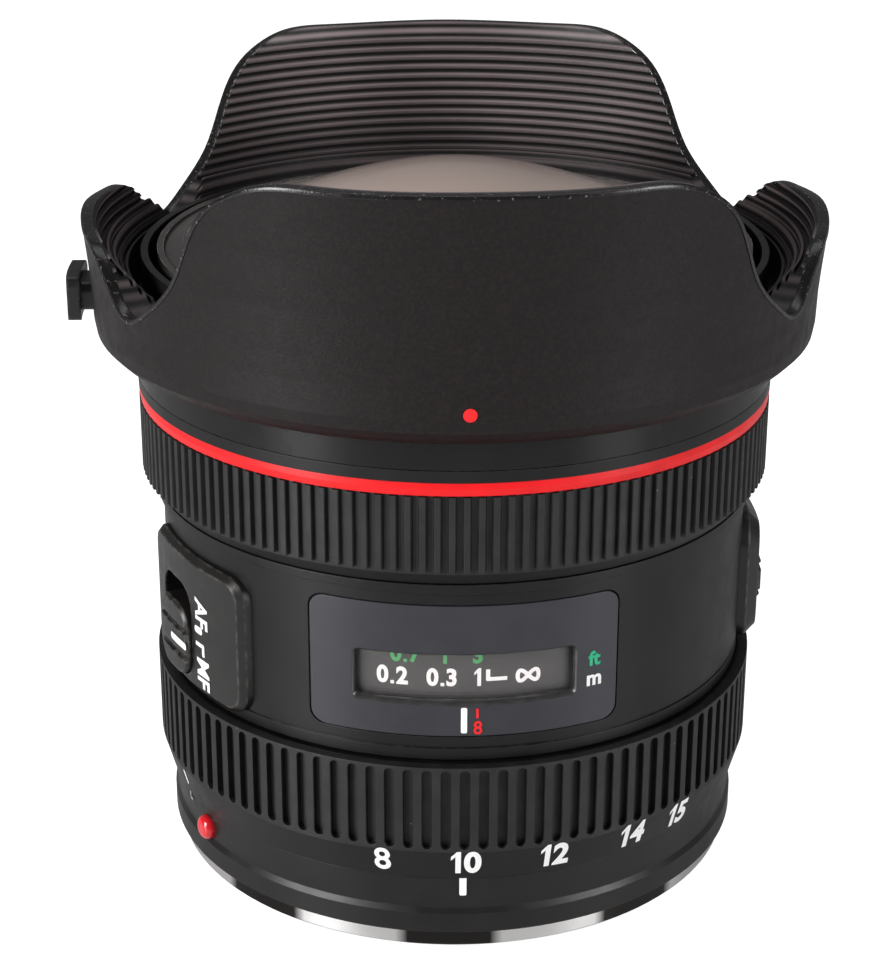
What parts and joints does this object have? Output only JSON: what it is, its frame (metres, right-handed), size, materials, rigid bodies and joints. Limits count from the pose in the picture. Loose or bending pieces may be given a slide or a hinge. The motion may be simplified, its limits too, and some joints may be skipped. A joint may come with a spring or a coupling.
{
  "type": "fisheye zoom lens",
  "caption": "Camera fisheye zoom lens with domed front glass, petal hood, zoom and focus rings, distance window, two slide switches, iris and bayonet mount",
  "frame": {"origin": "centre of the mount boss's rear face, which the lens stands on", "axes": "+Z along the optical axis towards the front glass; -Y is the side with the distance window"},
  "size_m": [0.0926, 0.095, 0.0986],
  "materials": {
    "chrome_metal": "satin chrome plate",
    "steel": "machined",
    "gold": "gold plated",
    "barrel_black": "fine matt black",
    "inner_black": "black anodised",
    "blade_black": "dry matt coat",
    "black_plastic": "fine grained",
    "switch_plastic": "satin",
    "panel_plate": "satin slate grey",
    "clear_window": "clear",
    "grip_rubber": "matt, lightly dusty",
    "red_paint": "bright gloss",
    "red_bead": "glossy bead",
    "board": "lacquered",
    "lens_glass": "coated and polished"
  },
  "bodies": {
    "barrel": {"mount_ring": "chrome_metal", "mount_screws": "steel", "contact_block": "black_plastic", "contact_pins": "gold", "rear_baffle": "black_plastic", "gel_filter_holder": "black_plastic", "rear_barrel": "barrel_black", "mount_index_dot": "red_bead", "guide_barrel": "inner_black", "guide_screws": "steel", "circuit_board": "board", "body_barrel": "barrel_black", "window_panel": "panel_plate", "window_glass": "clear_window", "af_switch_block": "switch_plastic", "limit_switch_block": "switch_plastic", "trim_ring": "barrel_black", "front_barrel": "barrel_black", "red_ring": "red_paint", "name_ring": "barrel_black", "motor_stator": "steel"},
    "rotor": {"motor_rotor": "steel"},
    "zoom": {"zoom_ring": "barrel_black", "zoom_grip": "grip_rubber", "zoom_cam_barrel": "inner_black", "zoom_key": "steel"},
    "focus": {"focus_ring": "barrel_black", "focus_grip": "grip_rubber"},
    "focus_cam": {"scale_drum": "black_plastic", "focus_cam_ring": "inner_black"},
    "focus_group": {"focus_cell": "inner_black", "focus_element_front": "lens_glass", "focus_element_rear": "lens_glass", "focus_followers": "steel"},
    "front_group": {"front_cell": "inner_black", "front_retaining_ring": "inner_black", "front_element": "lens_glass", "second_element": "lens_glass", "third_element": "lens_glass", "front_followers": "steel"},
    "middle_group": {"middle_cell": "inner_black", "middle_element": "lens_glass", "middle_followers": "steel"},
    "rear_group": {"rear_cell": "inner_black", "rear_element_front": "lens_glass", "rear_element_rear": "lens_glass", "rear_followers": "steel", "iris_housing": "inner_black"},
    "iris_drive": {"iris_ring": "inner_black"},
    "af_switch": {"af_switch_slider": "switch_plastic"},
    "limit_switch": {"limit_switch_slider": "switch_plastic"},
    "hood": {"hood_shell": "black_plastic"},
    "hood_lock": {"hood_lock_button": "black_plastic"},
    "blade_1": {"iris_blade_1": "blade_black"},
    "blade_2": {"iris_blade_2": "blade_black"},
    "blade_3": {"iris_blade_3": "blade_black"},
    "blade_4": {"iris_blade_4": "blade_black"},
    "blade_5": {"iris_blade_5": "blade_black"},
    "blade_6": {"iris_blade_6": "blade_black"},
    "blade_7": {"iris_blade_7": "blade_black"}
  },
  "joints": [
    {"name": "zoom_turn", "type": "hinge", "parent": "barrel", "child": "zoom", "pos_m": [0, 0, 0], "axis": [0, 0, 1], "range_deg": [-45.5, 15.4]},
    {"name": "front_slide", "type": "slide", "parent": "barrel", "child": "front_group", "axis": [0, 0, 1], "range_m": [-0.00228, 0.0008]},
    {"name": "middle_slide", "type": "slide", "parent": "barrel", "child": "middle_group", "axis": [0, 0, 1], "range_m": [-0.00085, 0.00242]},
    {"name": "rear_slide", "type": "slide", "parent": "barrel", "child": "rear_group", "axis": [0, 0, 1], "range_m": [-0.0022, 0.0064]},
    {"name": "focus_turn", "type": "hinge", "parent": "barrel", "child": "focus", "pos_m": [0, 0, 0], "axis": [0, 0, 1], "range_deg": [-24, 60]},
    {"name": "focus_cam_turn", "type": "hinge", "parent": "barrel", "child": "focus_cam", "pos_m": [0, 0, 0], "axis": [0, 0, 1], "range_deg": [-12.1, 30.1]},
    {"name": "focus_slide", "type": "slide", "parent": "barrel", "child": "focus_group", "axis": [0, 0, 1], "range_m": [-0.00095, 0.00234]},
    {"name": "rotor_turn", "type": "hinge", "parent": "barrel", "child": "rotor", "pos_m": [0, 0, 0], "axis": [0, 0, 1], "continuous": true},
    {"name": "iris_turn", "type": "hinge", "parent": "rear_group", "child": "iris_drive", "pos_m": [0, 0, 0], "axis": [0, 0, 1], "range_deg": [0, 6.8]},
    {"name": "af_switch_slide", "type": "slide", "parent": "barrel", "child": "af_switch", "axis": [0, 0, 1], "range_m": [0, 0.0027]},
    {"name": "limit_switch_slide", "type": "slide", "parent": "barrel", "child": "limit_switch", "axis": [0, 0, 1], "range_m": [0, 0.0027]},
    {"name": "hood_turn", "type": "hinge", "parent": "barrel", "child": "hood", "pos_m": [0, 0, 0], "axis": [0, 0, 1], "range_deg": [0, 30]},
    {"name": "hood_lock_press", "type": "slide", "parent": "hood", "child": "hood_lock", "axis": [1, 0, 0], "range_m": [0, 0.001], "stiffness_N_per_m": 800},
    {"name": "iris_blade_1_swing", "type": "hinge", "parent": "rear_group", "child": "blade_1", "pos_m": [0, -0.017, 0], "axis": [0, 0, 1], "range_deg": [-0.1, 30.1]},
    {"name": "iris_blade_2_swing", "type": "hinge", "parent": "rear_group", "child": "blade_2", "pos_m": [0.01329, -0.0106, 0], "axis": [0, 0, 1], "range_deg": [-0.1, 30.1]},
    {"name": "iris_blade_3_swing", "type": "hinge", "parent": "rear_group", "child": "blade_3", "pos_m": [0.01657, 0.00378, 0], "axis": [0, 0, 1], "range_deg": [-0.1, 30.1]},
    {"name": "iris_blade_4_swing", "type": "hinge", "parent": "rear_group", "child": "blade_4", "pos_m": [0.00738, 0.01532, 0], "axis": [0, 0, 1], "range_deg": [-0.1, 30.1]},
    {"name": "iris_blade_5_swing", "type": "hinge", "parent": "rear_group", "child": "blade_5", "pos_m": [-0.00738, 0.01532, 0], "axis": [0, 0, 1], "range_deg": [-0.1, 30.1]},
    {"name": "iris_blade_6_swing", "type": "hinge", "parent": "rear_group", "child": "blade_6", "pos_m": [-0.01657, 0.00378, 0], "axis": [0, 0, 1], "range_deg": [-0.1, 30.1]},
    {"name": "iris_blade_7_swing", "type": "hinge", "parent": "rear_group", "child": "blade_7", "pos_m": [-0.01329, -0.0106, 0], "axis": [0, 0, 1], "range_deg": [-0.1, 30.1]}
  ],
  "couplings": [
    {"joint": "front_slide", "follows": "zoom_turn", "m_per_rad": 0.00282},
    {"joint": "middle_slide", "follows": "zoom_turn", "m_per_rad": -0.003},
    {"joint": "rear_slide", "follows": "zoom_turn", "m_per_rad": -0.008},
    {"joint": "focus_cam_turn", "follows": "focus_turn", "ratio": 0.5},
    {"joint": "focus_slide", "follows": "focus_turn", "m_per_rad": 0.0022},
    {"joint": "iris_blade_1_swing", "follows": "iris_turn", "ratio": 4.4},
    {"joint": "iris_blade_2_swing", "follows": "iris_turn", "ratio": 4.4},
    {"joint": "iris_blade_3_swing", "follows": "iris_turn", "ratio": 4.4},
    {"joint": "iris_blade_4_swing", "follows": "iris_turn", "ratio": 4.4},
    {"joint": "iris_blade_5_swing", "follows": "iris_turn", "ratio": 4.4},
    {"joint": "iris_blade_6_swing", "follows": "iris_turn", "ratio": 4.4},
    {"joint": "iris_blade_7_swing", "follows": "iris_turn", "ratio": 4.4}
  ]
}
